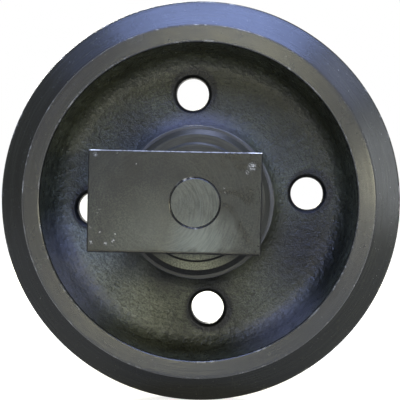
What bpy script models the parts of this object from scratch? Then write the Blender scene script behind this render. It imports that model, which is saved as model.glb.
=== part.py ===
"""Front idler of a small crawler excavator, taken apart piece by piece.

The wheel turns about the Y axis. -Y is the outer side that the viewer sees, +X points away from
the recoil yoke, and +Z is up. The origin is the middle of the wheel. Lengths are in metres.
A place along the axle is measured outward from the middle plane, the same way on both sides.
"""
from math import ceil, cos, pi, radians, sin, tan

import bmesh
import bpy
from mathutils import Matrix, Vector

# Fits
GAP = 0.0003
SIDES = {"front": -1, "rear": 1}

# Rim, with its guide flange in the middle and a tread on each side of it
FLANGE_RADIUS = 0.2150
FLANGE_HEIGHT = 0.0287
CREST_WIDTH = 0.0360
CREST_EDGE = 0.0025
FLANGE_TAPER = 0.0130
FLANGE_FOOT_FILLET = 0.0050
TREAD_WIDTH = 0.0290
TREAD_EDGE = 0.0015
RIM_THICKNESS = 0.0188
RIM_INNER_EDGE = 0.0025

# Dished web, its draft and its four lightening holes
WEB_THICKNESS = 0.0240
DISH_DRAFT = radians(15.0)
DISH_FILLET = 0.0220
HOLE_COUNT = 4
HOLE_DIAMETER = 0.0350
HOLE_EDGE = 0.0045
HOLE_FROM_HUB = 0.0343
HOLE_TURN = radians(5.15)

# Hub
HUB_PROUD = 0.0220
HUB_WALL = 0.0328
HUB_TAPER = 0.0021
HUB_FOOT_FILLET = 0.0200
HUB_EDGE = 0.0015
OIL_CHAMBER_DEPTH = 0.0045

# Axle shaft, with an oil drilling that opens at the rear end
SHAFT_DIAMETER = 0.0500
SHAFT_END_CHAMFER = 0.0012
SHAFT_END_SINK = 0.0004
OIL_DRILLING = 0.0080
CROSS_DRILLING = 0.0060

# Flanged bushes pressed into the hub
BUSH_WALL = 0.0037
BUSH_LENGTH = 0.0450
BUSH_FLANGE_HEIGHT = 0.0060
BUSH_FLANGE_THICKNESS = 0.0050

# Floating face seals: two metal rings face to face, each on its rubber load ring
SEAL_RING_WALL = 0.0070
SEAL_RING_LENGTH = 0.0140
SEAL_FACE_HEIGHT = 0.0048
SEAL_FACE_THICKNESS = 0.0035
SEAL_RING_SLACK = 0.0005
LOAD_RING_SECTION = 0.0080
SEAT_FLOOR_ROOM = 0.0025

# Brackets: a block that slides in the track frame, with a round seal flange on its inner side
FACE_GAP = 0.0010
NOSE_WALL = 0.0052
DISC_INSET = 0.0039
DISC_THICKNESS = 0.0070
DISC_CHAMFER = 0.0053
BOSS_INSET = 0.0105
BOSS_THICKNESS = 0.0020
BLOCK_SETBACK = 0.0040
BLOCK_THICKNESS = 0.0430
BLOCK_WALL = 0.0049
BLOCK_CHAMFER = 0.0010
SHORT_END = 0.0204
LONG_END = 0.0614
BORE_CHAMFER = 0.0013

# Tapped holes in the long end, for the bolts of the recoil yoke
YOKE_HOLE_DIAMETER = 0.0175
YOKE_HOLE_DEPTH = 0.0400
YOKE_HOLE_SPACING = 0.0520

# Lock pin through block and shaft, and the ring that keeps the oil in beside it
PIN_DIAMETER = 0.0140
PIN_BITE = 0.0100
PIN_FROM_FACE = 0.0150
PIN_SINK = 0.0025
PIN_CHAMFER = 0.0012
O_RING_SECTION = 0.0028
O_RING_FROM_SEAT = 0.0050

# Oil filler plug in the rear end of the shaft
PLUG_THREAD = 0.0160
PLUG_LENGTH = 0.0120
PLUG_HEAD_DIAMETER = 0.0240
PLUG_HEAD_THICKNESS = 0.0025
PLUG_SOCKET = 0.0080
PLUG_SOCKET_DEPTH = 0.0060
WASHER_THICKNESS = 0.0015

# Which way a drill points: along the axle (Y), upright (Z) or along the track (X)
ALONG_AXLE = (0.0, 0.0, 0.0)
UPRIGHT = (pi / 2, 0.0, 0.0)
LENGTHWISE = (0.0, 0.0, pi / 2)

# Fineness of the round shapes
WHEEL_SIDES = 52
SHAFT_SIDES = 36
RING_SIDES = 25
SMALL_SIDES = 20
SECTION_SIDES = 6
SOCKET_SIDES = 6
ARC_CHORD = 0.0106
LIP_TURNS = (0.0, radians(38.0), radians(75.0))
SHARP_EDGE = radians(35.0)

# Radii that follow from the sizes above
shaft_radius = SHAFT_DIAMETER / 2
bore_radius = shaft_radius + GAP
bush_radius = bore_radius + BUSH_WALL
nose_radius = bore_radius + NOSE_WALL
seal_bore = nose_radius + SEAL_RING_SLACK
seal_body_radius = seal_bore + SEAL_RING_WALL
load_ring_radius = seal_body_radius + GAP + LOAD_RING_SECTION / 2
seat_radius = load_ring_radius + LOAD_RING_SECTION / 2 + GAP
hub_radius = seat_radius + HUB_WALL
hub_foot_radius = hub_radius + HUB_TAPER
disc_radius = hub_radius - DISC_INSET
disc_face_radius = disc_radius - DISC_CHAMFER
boss_radius = disc_face_radius - BOSS_INSET
tread_radius = FLANGE_RADIUS - FLANGE_HEIGHT
rim_inner_radius = tread_radius - RIM_THICKNESS
hole_circle_radius = hub_foot_radius + HOLE_FROM_HUB

# Places along the axle that follow from the sizes above
flange_foot = CREST_WIDTH / 2 + FLANGE_TAPER
rim_face = flange_foot + TREAD_WIDTH
web_face = WEB_THICKNESS / 2
hub_face = rim_face + HUB_PROUD
disc_back = hub_face + FACE_GAP
seal_plane = (hub_face + disc_back) / 2
seat_depth = SEAL_RING_LENGTH + SEAT_FLOOR_ROOM
hub_seat_floor = seal_plane - seat_depth
bracket_seat_floor = seal_plane + seat_depth
bush_inner_end = hub_seat_floor - BUSH_LENGTH
nose_end = hub_seat_floor + GAP
disc_face = disc_back + DISC_THICKNESS
boss_face = disc_face + BOSS_THICKNESS
block_inner_face = disc_back + BLOCK_SETBACK
block_face = block_inner_face + BLOCK_THICKNESS
shaft_end = block_face - SHAFT_END_SINK
pin_place = block_face - PIN_FROM_FACE
o_ring_place = bracket_seat_floor + O_RING_FROM_SEAT

# The block around the axle, seen from the side
block_top = seat_radius + BLOCK_WALL
block_short_end = seat_radius + SHORT_END
block_long_end = seat_radius + LONG_END
pin_offset = -(shaft_radius + PIN_DIAMETER / 2 - PIN_BITE)
o_ring_groove = bore_radius - O_RING_SECTION - 2 * GAP
plug_seat = shaft_end - PLUG_HEAD_THICKNESS - WASHER_THICKNESS - 3 * GAP


def clear_scene():
    """Start from an empty file."""
    for thing in list(bpy.data.objects):
        bpy.data.objects.remove(thing, do_unlink=True)


def material(name, colour, roughness, metallic):
    """A plain material with one colour."""
    made = bpy.data.materials.new(name)
    made.use_nodes = True
    shader = made.node_tree.nodes["Principled BSDF"]
    shader.inputs["Base Color"].default_value = (*colour, 1.0)
    shader.inputs["Roughness"].default_value = roughness
    shader.inputs["Metallic"].default_value = metallic
    return made


def rounded(corners):
    """Outline through corners given as (radius, place, fillet), with each fillet drawn as an arc."""
    points = []
    for index, (radius, place, fillet) in enumerate(corners):
        corner = Vector((radius, place))
        to_last = Vector(corners[index - 1][:2]) - corner
        to_next = Vector(corners[(index + 1) % len(corners)][:2]) - corner
        if not fillet:
            points.append(corner)
            continue
        half = to_last.angle(to_next) / 2
        reach = min(fillet / tan(half), 0.45 * to_last.length, 0.45 * to_next.length)
        middle = to_last.normalized() + to_next.normalized()
        centre = corner + middle.normalized() * reach / cos(half)
        start = corner + to_last.normalized() * reach - centre
        sweep = start.angle_signed(corner + to_next.normalized() * reach - centre)
        steps = max(1, ceil(abs(sweep) * start.length / ARC_CHORD))
        for step in range(steps + 1):
            points.append(centre + Matrix.Rotation(-sweep * step / steps, 2) @ start)
    return points


def show(name, mesh, look):
    """Put a mesh in the scene as a piece with its material."""
    if look:
        mesh.materials.append(look)
    mesh.shade_smooth()
    mesh.set_sharp_from_angle(angle=SHARP_EDGE)
    piece = bpy.data.objects.new(name, mesh)
    bpy.context.scene.collection.objects.link(piece)
    return piece


def turned(name, outline, sides, look=None, side=1):
    """Turn an outline of (radius, place) points about the Y axis, on one side of the wheel."""
    shape = bmesh.new()
    verts = [shape.verts.new((radius, side * place, 0.0)) for radius, place in outline]
    for first, second in zip(verts, verts[1:] + verts[:1]):
        if max(first.co.x, second.co.x) > 0.0:
            shape.edges.new((first, second))
    bmesh.ops.spin(shape, geom=shape.verts[:] + shape.edges[:], cent=(0, 0, 0), axis=(0, 1, 0),
                   angle=2 * pi, steps=sides, use_merge=True)
    bmesh.ops.remove_doubles(shape, verts=shape.verts[:], dist=1e-6)
    # One flat face on each end, in place of a fan of triangles
    middles = [vert for vert in shape.verts if vert.co.x == vert.co.z == 0.0]
    bmesh.ops.dissolve_verts(shape, verts=middles)
    bmesh.ops.recalc_face_normals(shape, faces=shape.faces[:])
    mesh = bpy.data.meshes.new(name)
    shape.to_mesh(mesh)
    shape.free()
    return show(name, mesh, look)


def rod_outline(radius, start, end, chamfer=0.0):
    """Outline of a plain rod between two places, with both ends chamfered."""
    if not chamfer:
        return [(0.0, start), (radius, start), (radius, end), (0.0, end)]
    return [(0.0, start), (radius - chamfer, start), (radius, start + chamfer),
            (radius, end - chamfer), (radius - chamfer, end), (0.0, end)]


def ring_section(radius, place, section):
    """Round section of a rubber ring."""
    turns = [2 * pi * step / SECTION_SIDES for step in range(SECTION_SIDES)]
    return [(radius + section / 2 * cos(turn), place + section / 2 * sin(turn)) for turn in turns]


def block(name, low, high, chamfer, look):
    """Rectangular block between two corners, with every edge chamfered."""
    shape = bmesh.new()
    bmesh.ops.create_cube(shape, size=1.0)
    size = Vector(high) - Vector(low)
    middle = (Vector(high) + Vector(low)) / 2
    bmesh.ops.transform(shape, matrix=Matrix.Translation(middle) @ Matrix.Diagonal((*size, 1.0)),
                        verts=shape.verts[:])
    bmesh.ops.bevel(shape, geom=shape.edges[:], offset=chamfer, segments=1, affect="EDGES")
    mesh = bpy.data.meshes.new(name)
    shape.to_mesh(mesh)
    shape.free()
    return show(name, mesh, look)


def combine(piece, tool, operation):
    """Join a tool shape to a piece, or cut the piece with it, and keep the tool as a guide."""
    change = piece.modifiers.new(tool.name, "BOOLEAN")
    change.operation = operation
    change.solver = "EXACT"
    change.object = tool
    tool.hide_render = True
    tool.display_type = "WIRE"


def drill(piece, name, radius, depth, mouth, turn, sides=SMALL_SIDES):
    """Drill a round hole: the mouth is a point, and turn rotates the drill off the Y axis."""
    tool = turned(name, rod_outline(radius, -depth, depth), sides)
    tool.location = mouth
    tool.rotation_euler = turn
    combine(piece, tool, "DIFFERENCE")


def wheel_section():
    """Section of the wheel: from the crest of the flange round to the oil chamber, then mirrored."""
    wall_run = (rim_face - web_face) * tan(DISH_DRAFT)
    half = [
        (FLANGE_RADIUS, CREST_WIDTH / 2, CREST_EDGE),
        (tread_radius, flange_foot, FLANGE_FOOT_FILLET),
        (tread_radius, rim_face, TREAD_EDGE),
        (rim_inner_radius, rim_face, RIM_INNER_EDGE),
        (rim_inner_radius - wall_run, web_face, DISH_FILLET),
        (hub_foot_radius, web_face, HUB_FOOT_FILLET),
        (hub_radius, hub_face, HUB_EDGE),
        (seat_radius, hub_face, 0.0),
        (seat_radius, hub_seat_floor, 0.0),
        (bush_radius + BUSH_FLANGE_HEIGHT + GAP, hub_seat_floor, 0.0),
        (bush_radius + BUSH_FLANGE_HEIGHT + GAP, hub_seat_floor - BUSH_FLANGE_THICKNESS - GAP, 0.0),
        (bush_radius + GAP, hub_seat_floor - BUSH_FLANGE_THICKNESS - GAP, 0.0),
        (bush_radius + GAP, bush_inner_end - GAP, 0.0),
        (bush_radius + GAP + OIL_CHAMBER_DEPTH, bush_inner_end - OIL_CHAMBER_DEPTH, 0.0),
    ]
    return rounded(half + [(radius, -place, fillet) for radius, place, fillet in reversed(half)])


def make_wheel():
    """The cast wheel: treads, guide flange, dished web with round holes, and hub."""
    paint = material("wheel_paint", (0.02, 0.022, 0.024), 0.42, 0.0)
    wheel = turned("idler_wheel", wheel_section(), WHEEL_SIDES, paint)
    hole_radius = HOLE_DIAMETER / 2
    mouth = hole_radius + HOLE_EDGE
    lip = [(mouth - HOLE_EDGE * cos(turn), web_face - HOLE_EDGE * (1 - sin(turn))) for turn in LIP_TURNS]
    side = lip + [(mouth, web_face + HOLE_EDGE), (0.0, web_face + HOLE_EDGE)]
    for number in range(HOLE_COUNT):
        turn = HOLE_TURN + 2 * pi * number / HOLE_COUNT
        tool = turned(f"hole_tool_{number}", side + [(radius, -place) for radius, place in reversed(side)],
                      SMALL_SIDES)
        tool.location = (hole_circle_radius * cos(turn), 0.0, hole_circle_radius * sin(turn))
        combine(wheel, tool, "DIFFERENCE")


def make_shaft():
    """The axle shaft, notched for the lock pins and grooved for the oil rings."""
    groove = O_RING_SECTION / 2 + GAP
    half = [
        (shaft_radius, o_ring_place - groove),
        (o_ring_groove, o_ring_place - groove),
        (o_ring_groove, o_ring_place + groove),
        (shaft_radius, o_ring_place + groove),
        (shaft_radius, shaft_end - SHAFT_END_CHAMFER),
        (shaft_radius - SHAFT_END_CHAMFER, shaft_end),
        (0.0, shaft_end),
    ]
    outline = half + [(radius, -place) for radius, place in reversed(half)]
    shaft = turned("shaft", outline, SHAFT_SIDES, material("shaft_steel", (0.30, 0.30, 0.29), 0.32, 1.0))
    for name, side in SIDES.items():
        drill(shaft, f"pin_notch_{name}", PIN_DIAMETER / 2 + GAP, 2 * shaft_radius,
              (pin_offset, side * pin_place, 0.0), UPRIGHT)
    rear = SIDES["rear"]
    mouth = (0.0, rear * shaft_end, 0.0)
    head_depth = shaft_end - plug_seat
    drill(shaft, "plug_head_seat", PLUG_HEAD_DIAMETER / 2 + GAP, head_depth, mouth, ALONG_AXLE)
    drill(shaft, "plug_thread_hole", PLUG_THREAD / 2 + GAP, head_depth + PLUG_LENGTH + GAP,
          mouth, ALONG_AXLE)
    drill(shaft, "oil_drilling", OIL_DRILLING / 2, shaft_end + CROSS_DRILLING, mouth, ALONG_AXLE)
    drill(shaft, "cross_drilling", CROSS_DRILLING / 2, 2 * shaft_radius, (0.0, 0.0, 0.0), UPRIGHT)


def make_bush(name, side):
    """A flanged bush that carries the wheel on the shaft and takes the side load."""
    flange_radius = bush_radius + BUSH_FLANGE_HEIGHT
    flange_back = hub_seat_floor - BUSH_FLANGE_THICKNESS
    turned(f"bush_{name}", [
        (bore_radius, bush_inner_end),
        (bush_radius, bush_inner_end),
        (bush_radius, flange_back),
        (flange_radius, flange_back),
        (flange_radius, hub_seat_floor),
        (bore_radius, hub_seat_floor),
    ], RING_SIDES, material(f"bush_bronze_{name}", (0.55, 0.36, 0.14), 0.35, 1.0), side)


def make_seal(name, side, kind, outward):
    """One metal seal ring with its rubber load ring; outward is 1 in the bracket and -1 in the hub."""
    face = seal_plane + outward * GAP / 2
    turned(f"seal_ring_{kind}_{name}", [
        (seal_bore, face),
        (seal_body_radius + SEAL_FACE_HEIGHT, face),
        (seal_body_radius + SEAL_FACE_HEIGHT, face + outward * SEAL_FACE_THICKNESS / 2),
        (seal_body_radius, face + outward * SEAL_FACE_THICKNESS),
        (seal_body_radius, face + outward * SEAL_RING_LENGTH),
        (seal_bore, face + outward * SEAL_RING_LENGTH),
    ], RING_SIDES, material(f"seal_iron_{kind}_{name}", (0.42, 0.42, 0.43), 0.22, 1.0), side)
    middle = face + outward * (SEAL_FACE_THICKNESS + GAP + LOAD_RING_SECTION / 2)
    turned(f"load_ring_{kind}_{name}", ring_section(load_ring_radius, middle, LOAD_RING_SECTION),
           RING_SIDES, material(f"load_rubber_{kind}_{name}", (0.015, 0.015, 0.015), 0.55, 0.0), side)


def make_bracket(name, side):
    """A bracket: sliding block, round seal flange, seal seat, nose, and the holes for pin and yoke."""
    paint = material(f"bracket_paint_{name}", (0.022, 0.023, 0.024), 0.40, 0.0)
    inner = side * block_inner_face
    outer = side * block_face
    bracket = block(f"bracket_{name}", (-block_long_end, min(inner, outer), -block_top),
                    (block_short_end, max(inner, outer), block_top), BLOCK_CHAMFER, paint)
    flange = turned(f"seal_flange_{name}", [
        (0.0, disc_back),
        (disc_radius, disc_back),
        (disc_radius, disc_face - DISC_CHAMFER),
        (disc_face_radius, disc_face),
        (boss_radius, disc_face),
        (boss_radius, boss_face),
        (0.0, boss_face),
    ], WHEEL_SIDES, side=side)
    combine(bracket, flange, "UNION")
    seat = turned(f"seal_seat_{name}", rod_outline(seat_radius, hub_face, bracket_seat_floor),
                  SHAFT_SIDES, side=side)
    combine(bracket, seat, "DIFFERENCE")
    nose = turned(f"nose_{name}", rod_outline(nose_radius, nose_end, bracket_seat_floor + BORE_CHAMFER),
                  SHAFT_SIDES, side=side)
    combine(bracket, nose, "UNION")
    bore = turned(f"bracket_bore_{name}", [
        (0.0, nose_end - BORE_CHAMFER),
        (bore_radius, nose_end - BORE_CHAMFER),
        (bore_radius, block_face - BORE_CHAMFER),
        (bore_radius + 2 * BORE_CHAMFER, block_face + BORE_CHAMFER),
        (0.0, block_face + BORE_CHAMFER),
    ], SHAFT_SIDES, side=side)
    combine(bracket, bore, "DIFFERENCE")
    drill(bracket, f"pin_hole_{name}", PIN_DIAMETER / 2 + GAP, 2 * block_top,
          (pin_offset, side * pin_place, 0.0), UPRIGHT)
    for number, level in enumerate((-YOKE_HOLE_SPACING / 2, YOKE_HOLE_SPACING / 2)):
        drill(bracket, f"yoke_hole_{name}_{number}", YOKE_HOLE_DIAMETER / 2, YOKE_HOLE_DEPTH,
              (-block_long_end, (inner + outer) / 2, level), LENGTHWISE)


def make_lock_pin(name, side):
    """The pin that stops the shaft from turning or sliding in its bracket."""
    reach = block_top - PIN_SINK
    pin = turned(f"lock_pin_{name}", rod_outline(PIN_DIAMETER / 2, -reach, reach, PIN_CHAMFER), SMALL_SIDES,
                 material(f"pin_steel_{name}", (0.25, 0.25, 0.25), 0.38, 1.0))
    pin.location = (pin_offset, side * pin_place, 0.0)
    pin.rotation_euler = UPRIGHT


def make_oil_ring(name, side):
    """The rubber ring between shaft and bracket."""
    radius = o_ring_groove + GAP + O_RING_SECTION / 2
    turned(f"o_ring_{name}", ring_section(radius, o_ring_place, O_RING_SECTION), RING_SIDES,
           material(f"o_ring_rubber_{name}", (0.012, 0.012, 0.012), 0.5, 0.0), side)


def make_plug():
    """The oil filler plug with a hexagon socket, and its sealing washer."""
    washer_back = plug_seat + GAP
    head_back = washer_back + WASHER_THICKNESS + GAP
    head_face = head_back + PLUG_HEAD_THICKNESS
    rear = SIDES["rear"]
    plug = turned("oil_plug", [
        (0.0, plug_seat - PLUG_LENGTH),
        (PLUG_THREAD / 2, plug_seat - PLUG_LENGTH),
        (PLUG_THREAD / 2, head_back),
        (PLUG_HEAD_DIAMETER / 2, head_back),
        (PLUG_HEAD_DIAMETER / 2, head_face),
        (0.0, head_face),
    ], SMALL_SIDES, material("plug_steel", (0.32, 0.32, 0.33), 0.35, 1.0), rear)
    drill(plug, "plug_socket", PLUG_SOCKET / 2 / cos(pi / SOCKET_SIDES), PLUG_SOCKET_DEPTH,
          (0.0, rear * head_face, 0.0), ALONG_AXLE, SOCKET_SIDES)
    turned("plug_washer", [
        (PLUG_THREAD / 2 + GAP, washer_back),
        (PLUG_HEAD_DIAMETER / 2, washer_back),
        (PLUG_HEAD_DIAMETER / 2, washer_back + WASHER_THICKNESS),
        (PLUG_THREAD / 2 + GAP, washer_back + WASHER_THICKNESS),
    ], SMALL_SIDES, material("washer_copper", (0.62, 0.30, 0.18), 0.3, 1.0), rear)


def main():
    clear_scene()
    make_wheel()
    make_shaft()
    for name, side in SIDES.items():
        make_bush(name, side)
        make_seal(name, side, "turning", -1)
        make_seal(name, side, "fixed", 1)
        make_bracket(name, side)
        make_lock_pin(name, side)
        make_oil_ring(name, side)
    make_plug()


main()
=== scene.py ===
"""Front idler of a small crawler excavator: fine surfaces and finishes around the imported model.

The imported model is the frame: it holds every piece at its real size and place. Here the cast
wheel, the two brackets, the shaft, its lock pins and its oil plug are modelled again with fine
surfaces, the pieces inside the hub get their finish, and a plain stage is set up round them.
The wheel turns about the Y axis, the camera looks along +Y, and lengths are in metres.
"""
from math import ceil, cos, hypot, pi, radians, sin, tan

import bmesh
import bpy
from bpy.props import FloatProperty, FloatVectorProperty, IntProperty, PointerProperty
from bpy.types import Operator, Panel, PropertyGroup
from mathutils import Matrix, Vector, noise


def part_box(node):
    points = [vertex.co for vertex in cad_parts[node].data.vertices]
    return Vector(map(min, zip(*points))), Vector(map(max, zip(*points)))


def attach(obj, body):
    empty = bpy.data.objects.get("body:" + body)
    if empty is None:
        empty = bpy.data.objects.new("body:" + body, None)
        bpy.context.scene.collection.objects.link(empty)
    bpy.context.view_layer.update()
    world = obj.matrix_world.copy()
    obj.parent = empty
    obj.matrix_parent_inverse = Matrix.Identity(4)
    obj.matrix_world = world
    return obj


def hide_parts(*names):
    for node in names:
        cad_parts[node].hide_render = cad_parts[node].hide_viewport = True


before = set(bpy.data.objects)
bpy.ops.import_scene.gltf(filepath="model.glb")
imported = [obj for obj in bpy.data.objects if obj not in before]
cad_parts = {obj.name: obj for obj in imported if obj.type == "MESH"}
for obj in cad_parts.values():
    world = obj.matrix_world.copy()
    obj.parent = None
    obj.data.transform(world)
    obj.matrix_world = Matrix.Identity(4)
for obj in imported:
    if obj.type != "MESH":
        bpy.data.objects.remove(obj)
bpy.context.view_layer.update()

bl_info = {
    "name": "Front idler",
    "version": (1, 0, 0),
    "blender": (4, 5, 0),
    "location": "3D View > Sidebar > Front idler",
    "description": "Models and finishes the front idler of a crawler excavator",
    "category": "Object",
}

SIDES = {"front": -1, "rear": 1}
WHEEL_LOW, WHEEL_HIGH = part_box("idler_wheel")
BRACKET_LOW, BRACKET_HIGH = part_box("bracket_rear")
SHAFT_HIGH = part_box("shaft")[1]
PIN_LOW, PIN_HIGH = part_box("lock_pin_rear")
BUSH_LOW, BUSH_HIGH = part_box("bush_rear")
PLUG_LOW, PLUG_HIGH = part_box("oil_plug")
WASHER_LOW, WASHER_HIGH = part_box("plug_washer")
LOAD_RING_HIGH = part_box("load_ring_fixed_rear")[1]
FRONT_FACE = SIDES["front"] * BRACKET_HIGH.y
PIN_ACROSS, PIN_ALONG = (PIN_LOW.x + PIN_HIGH.x) / 2, (PIN_LOW.y + PIN_HIGH.y) / 2
PIN_RADIUS = (PIN_HIGH.x - PIN_LOW.x) / 2
PLUG_SHANK = 0.0080
BLOCK_TOP = 0.0515
CLEARANCE = 0.0003  # between two pieces that fit into each other
UPRIGHT = (pi / 2, 0.0, 0.0)  # turns a drill from the axle's direction to the vertical


def length(name, description, default):
    """A size in metres that shows in the sidebar."""
    return FloatProperty(name=name, description=description, default=default, unit="LENGTH", precision=4)


def colour(name, description, default):
    """A colour that shows in the sidebar."""
    return FloatVectorProperty(name=name, description=description, default=default, subtype="COLOR",
                               min=0.0, max=1.0)


def share(name, description, default):
    """A factor from 0 to 1 that shows in the sidebar."""
    return FloatProperty(name=name, description=description, default=default, min=0.0, max=1.0,
                         subtype="FACTOR")


def power(name, description, default):
    """A lamp's power in watts that shows in the sidebar."""
    return FloatProperty(name=name, description=description, default=default, min=0.0, unit="POWER")


class WheelSizes(PropertyGroup):
    """Sizes of the cast wheel."""
    flange_radius: length("Flange radius", "From the axle to the crest of the guide flange", WHEEL_HIGH.x)
    hub_face: length("Hub face", "From the wheel's middle to the end of its hub", WHEEL_HIGH.y)
    flange_height: length("Flange height", "Height of the guide flange above the treads", 0.0287)
    crest_half: length("Half crest", "Half the width of the flange's crest", 0.0180)
    flange_taper: length("Flange taper", "Run of the flange's sloping side along the axle", 0.0130)
    tread_width: length("Tread width", "Width of the tread on each side", 0.0290)
    rim_thickness: length("Rim thickness", "Width of the rim's turned side face", 0.0188)
    web_half: length("Half web", "Half the thickness of the dished web", 0.0120)
    dish_fillet: length("Dish fillet", "Radius between web and rim", 0.0220)
    dish_draft: FloatProperty(name="Dish draft", description="Slope of the rim's inner wall",
                              default=radians(15.0), subtype="ANGLE")
    hub_radius: length("Hub radius", "Radius of the hub at its end", 0.0794)
    hub_taper: length("Hub taper", "How much wider the hub is at its foot", 0.0021)
    hub_fillet: length("Hub fillet", "Radius between hub and web", 0.0200)
    hole_radius: length("Hole radius", "Radius of the round holes in the web", 0.0175)
    hole_lip: length("Hole lip", "Radius of the rounded lip of each hole", 0.0050)
    hole_circle: length("Hole circle", "Radius of the circle that the holes lie on", 0.1158)
    hole_turn: FloatProperty(name="Hole turn", description="How far the holes are turned at rest",
                             default=radians(5.15), subtype="ANGLE")
    cast_unevenness: length("Unevenness", "How far the cast skin swells and sinks", 0.00045)
    sides: IntProperty(name="Sides", description="Steps round the wheel", default=240, min=24)


class BracketSizes(PropertyGroup):
    """Sizes of the two brackets and their block."""
    long_end: length("Long end", "From the axle to the yoke face", -BRACKET_LOW.x)
    short_end: length("Short end", "From the axle to the free end", 0.0670)
    block_top: length("Block top", "From the axle to each slide face", BLOCK_TOP)
    block_face: length("Block face", "From the wheel's middle to the outer face", BRACKET_HIGH.y)
    block_back: length("Block back", "From the wheel's middle to the block's inner face", 0.0870)
    chamfer: length("Chamfer", "Width of the block's chamfered edges", 0.0010)
    disc_back: length("Disc back", "From the wheel's middle to the seal flange's inner face", 0.0830)
    disc_radius: length("Disc radius", "Radius of the seal flange", BRACKET_HIGH.z)
    disc_thickness: length("Disc thickness", "Thickness of the seal flange", 0.0070)
    disc_chamfer: length("Disc chamfer", "Slope round the seal flange", 0.0053)
    boss_radius: length("Boss radius", "Radius of the raised step on the seal flange", 0.0597)
    boss_height: length("Boss height", "Height of that step", 0.0020)
    seat_radius: length("Seat radius", "Radius of the seal's seat", 0.0466)
    seat_floor: length("Seat floor", "From the wheel's middle to the seat's floor", 0.0990)
    nose_radius: length("Nose radius", "Radius of the nose round the shaft", 0.0305)
    nose_end: length("Nose end", "From the wheel's middle to the nose's end", BRACKET_LOW.y)
    bore_chamfer: length("Bore chamfer", "Chamfer at the mouth of the bore", 0.0016)
    yoke_hole_radius: length("Yoke hole radius", "Radius of the tapped holes in the yoke face", 0.00875)
    yoke_hole_depth: length("Yoke hole depth", "Depth of those holes", 0.0400)
    yoke_hole_spacing: length("Yoke hole spacing", "Distance between those holes", 0.0520)


class Finishes(PropertyGroup):
    """Colours and roughness of the finishes."""
    cast_paint: colour("Cast paint", "Black paint on the rough casting", (0.008, 0.0082, 0.005))
    dusty_paint: colour("Dusty paint", "The same paint where dust and overspray lie", (0.036, 0.039, 0.024))
    # This colour is pale powder and also painted light, low on the web and on the seal flanges
    powder_and_light_paint: colour("Powdered paint", "The same paint under settled pale powder", (0.146, 0.151, 0.110))
    turned_paint: colour("Turned paint", "Thin black paint on the turned faces", (0.0046, 0.0048, 0.0030))
    rim_paint: colour("Rim paint", "Thin black paint on the side face of the rim", (0.0065, 0.0065, 0.0055))
    hub_paint: colour("Hub paint", "Dusty black paint on the end of the hub", (0.026, 0.026, 0.025))
    seal_paint: colour("Seal flange paint", "Dusty black paint on the seal flange", (0.015, 0.015, 0.012))
    ground_paint: colour("Ground paint", "Thin black paint on the block's ground faces", (0.010, 0.010, 0.009))
    # This colour is a painted bluish sheen at the foot of rim and hub
    painted_sheen: colour("Film", "Bluish film of oil at the foot of rim and hub", (0.050, 0.049, 0.052))
    # This colour is rubbed paint and also a painted highlight on the block's face
    rubbed_and_lit_paint: colour("Rubbed paint", "The same paint where it is rubbed thin", (0.098, 0.100, 0.068))
    # This colour is chipped bare metal and also painted glints and the painted highlight on the block's top
    # edge
    bare_metal_and_glint: colour("Bare metal", "Steel that shows where the paint is chipped", (0.50, 0.48, 0.41))
    cast_roughness: share("Cast roughness", "Roughness of the paint on the casting", 0.40)
    turned_roughness: share("Turned roughness", "Roughness of the paint on the guide flange", 0.25)
    rim_roughness: share("Rim roughness", "Roughness of the paint on the side face of the rim", 0.25)
    ground_roughness: share("Ground roughness", "Roughness of the paint on ground faces", 0.21)


class StageSizes(PropertyGroup):
    """The camera's place and the lamps."""
    camera_distance: length("Camera distance", "From the wheel's middle to the camera", 1.6)
    camera_right: length("Camera right", "How far the camera stands to the right of the axle", 0.0684)
    camera_height: length("Camera height", "How far the camera stands above the axle", 0.0274)
    aim_right: length("Aim right", "Where the camera looks, to the right of the axle", -0.0004)
    aim_height: length("Aim height", "Where the camera looks, above the axle", 0.0009)
    camera_roll: FloatProperty(name="Camera roll", description="How far the camera leans to the left",
                               default=radians(1.19), subtype="ANGLE")
    lens: FloatProperty(name="Lens", description="Focal length for a 36 mm sensor", default=132.3)
    sky_power: power("Sky power", "Power of the wide cool lamp above", 118.0)
    overhead_power: power("Overhead power", "Power of the pale lamp straight above", 26.0)
    side_power: power("Side power", "Power of the tall lamp on the right", 17.0)
    corner_power: power("Corner power", "Power of the pale lamp high on the right", 8.5)
    right_power: power("Right power", "Power of the warm lamp on the right", 13.0)
    left_power: power("Left power", "Power of the weak lamp high on the left", 4.0)
    front_power: power("Front power", "Power of the small lamp above the camera", 3.8)
    near_power: power("Near power", "Power of the small lamp right of the camera", 1.6)
    low_power: power("Low power", "Power of the small lamp below the camera", 1.4)
    rear_power: power("Rear power", "Power of the lamp behind the wheel", 110.0)
    sky_colour: colour("Sky colour", "Colour of the cool lamps", (0.37, 0.49, 1.0))
    pale_colour: colour("Pale colour", "Colour of the pale lamps", (0.58, 0.66, 1.0))
    soft_colour: colour("Soft colour", "Colour of the tall lamp on the right", (0.88, 0.93, 1.0))
    plain_colour: colour("Plain colour", "Colour of the plain lamps", (1.0, 0.99, 0.88))
    warm_colour: colour("Warm colour", "Colour of the warm lamps", (1.0, 0.96, 0.62))
    ambient_colour: colour("Ambient", "Light from all round", (0.05, 0.05, 0.05))
    floor_colour: colour("Floor colour", "Colour that the floor throws back at the object", (0.42, 0.39, 0.29))


# Meshes

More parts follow.
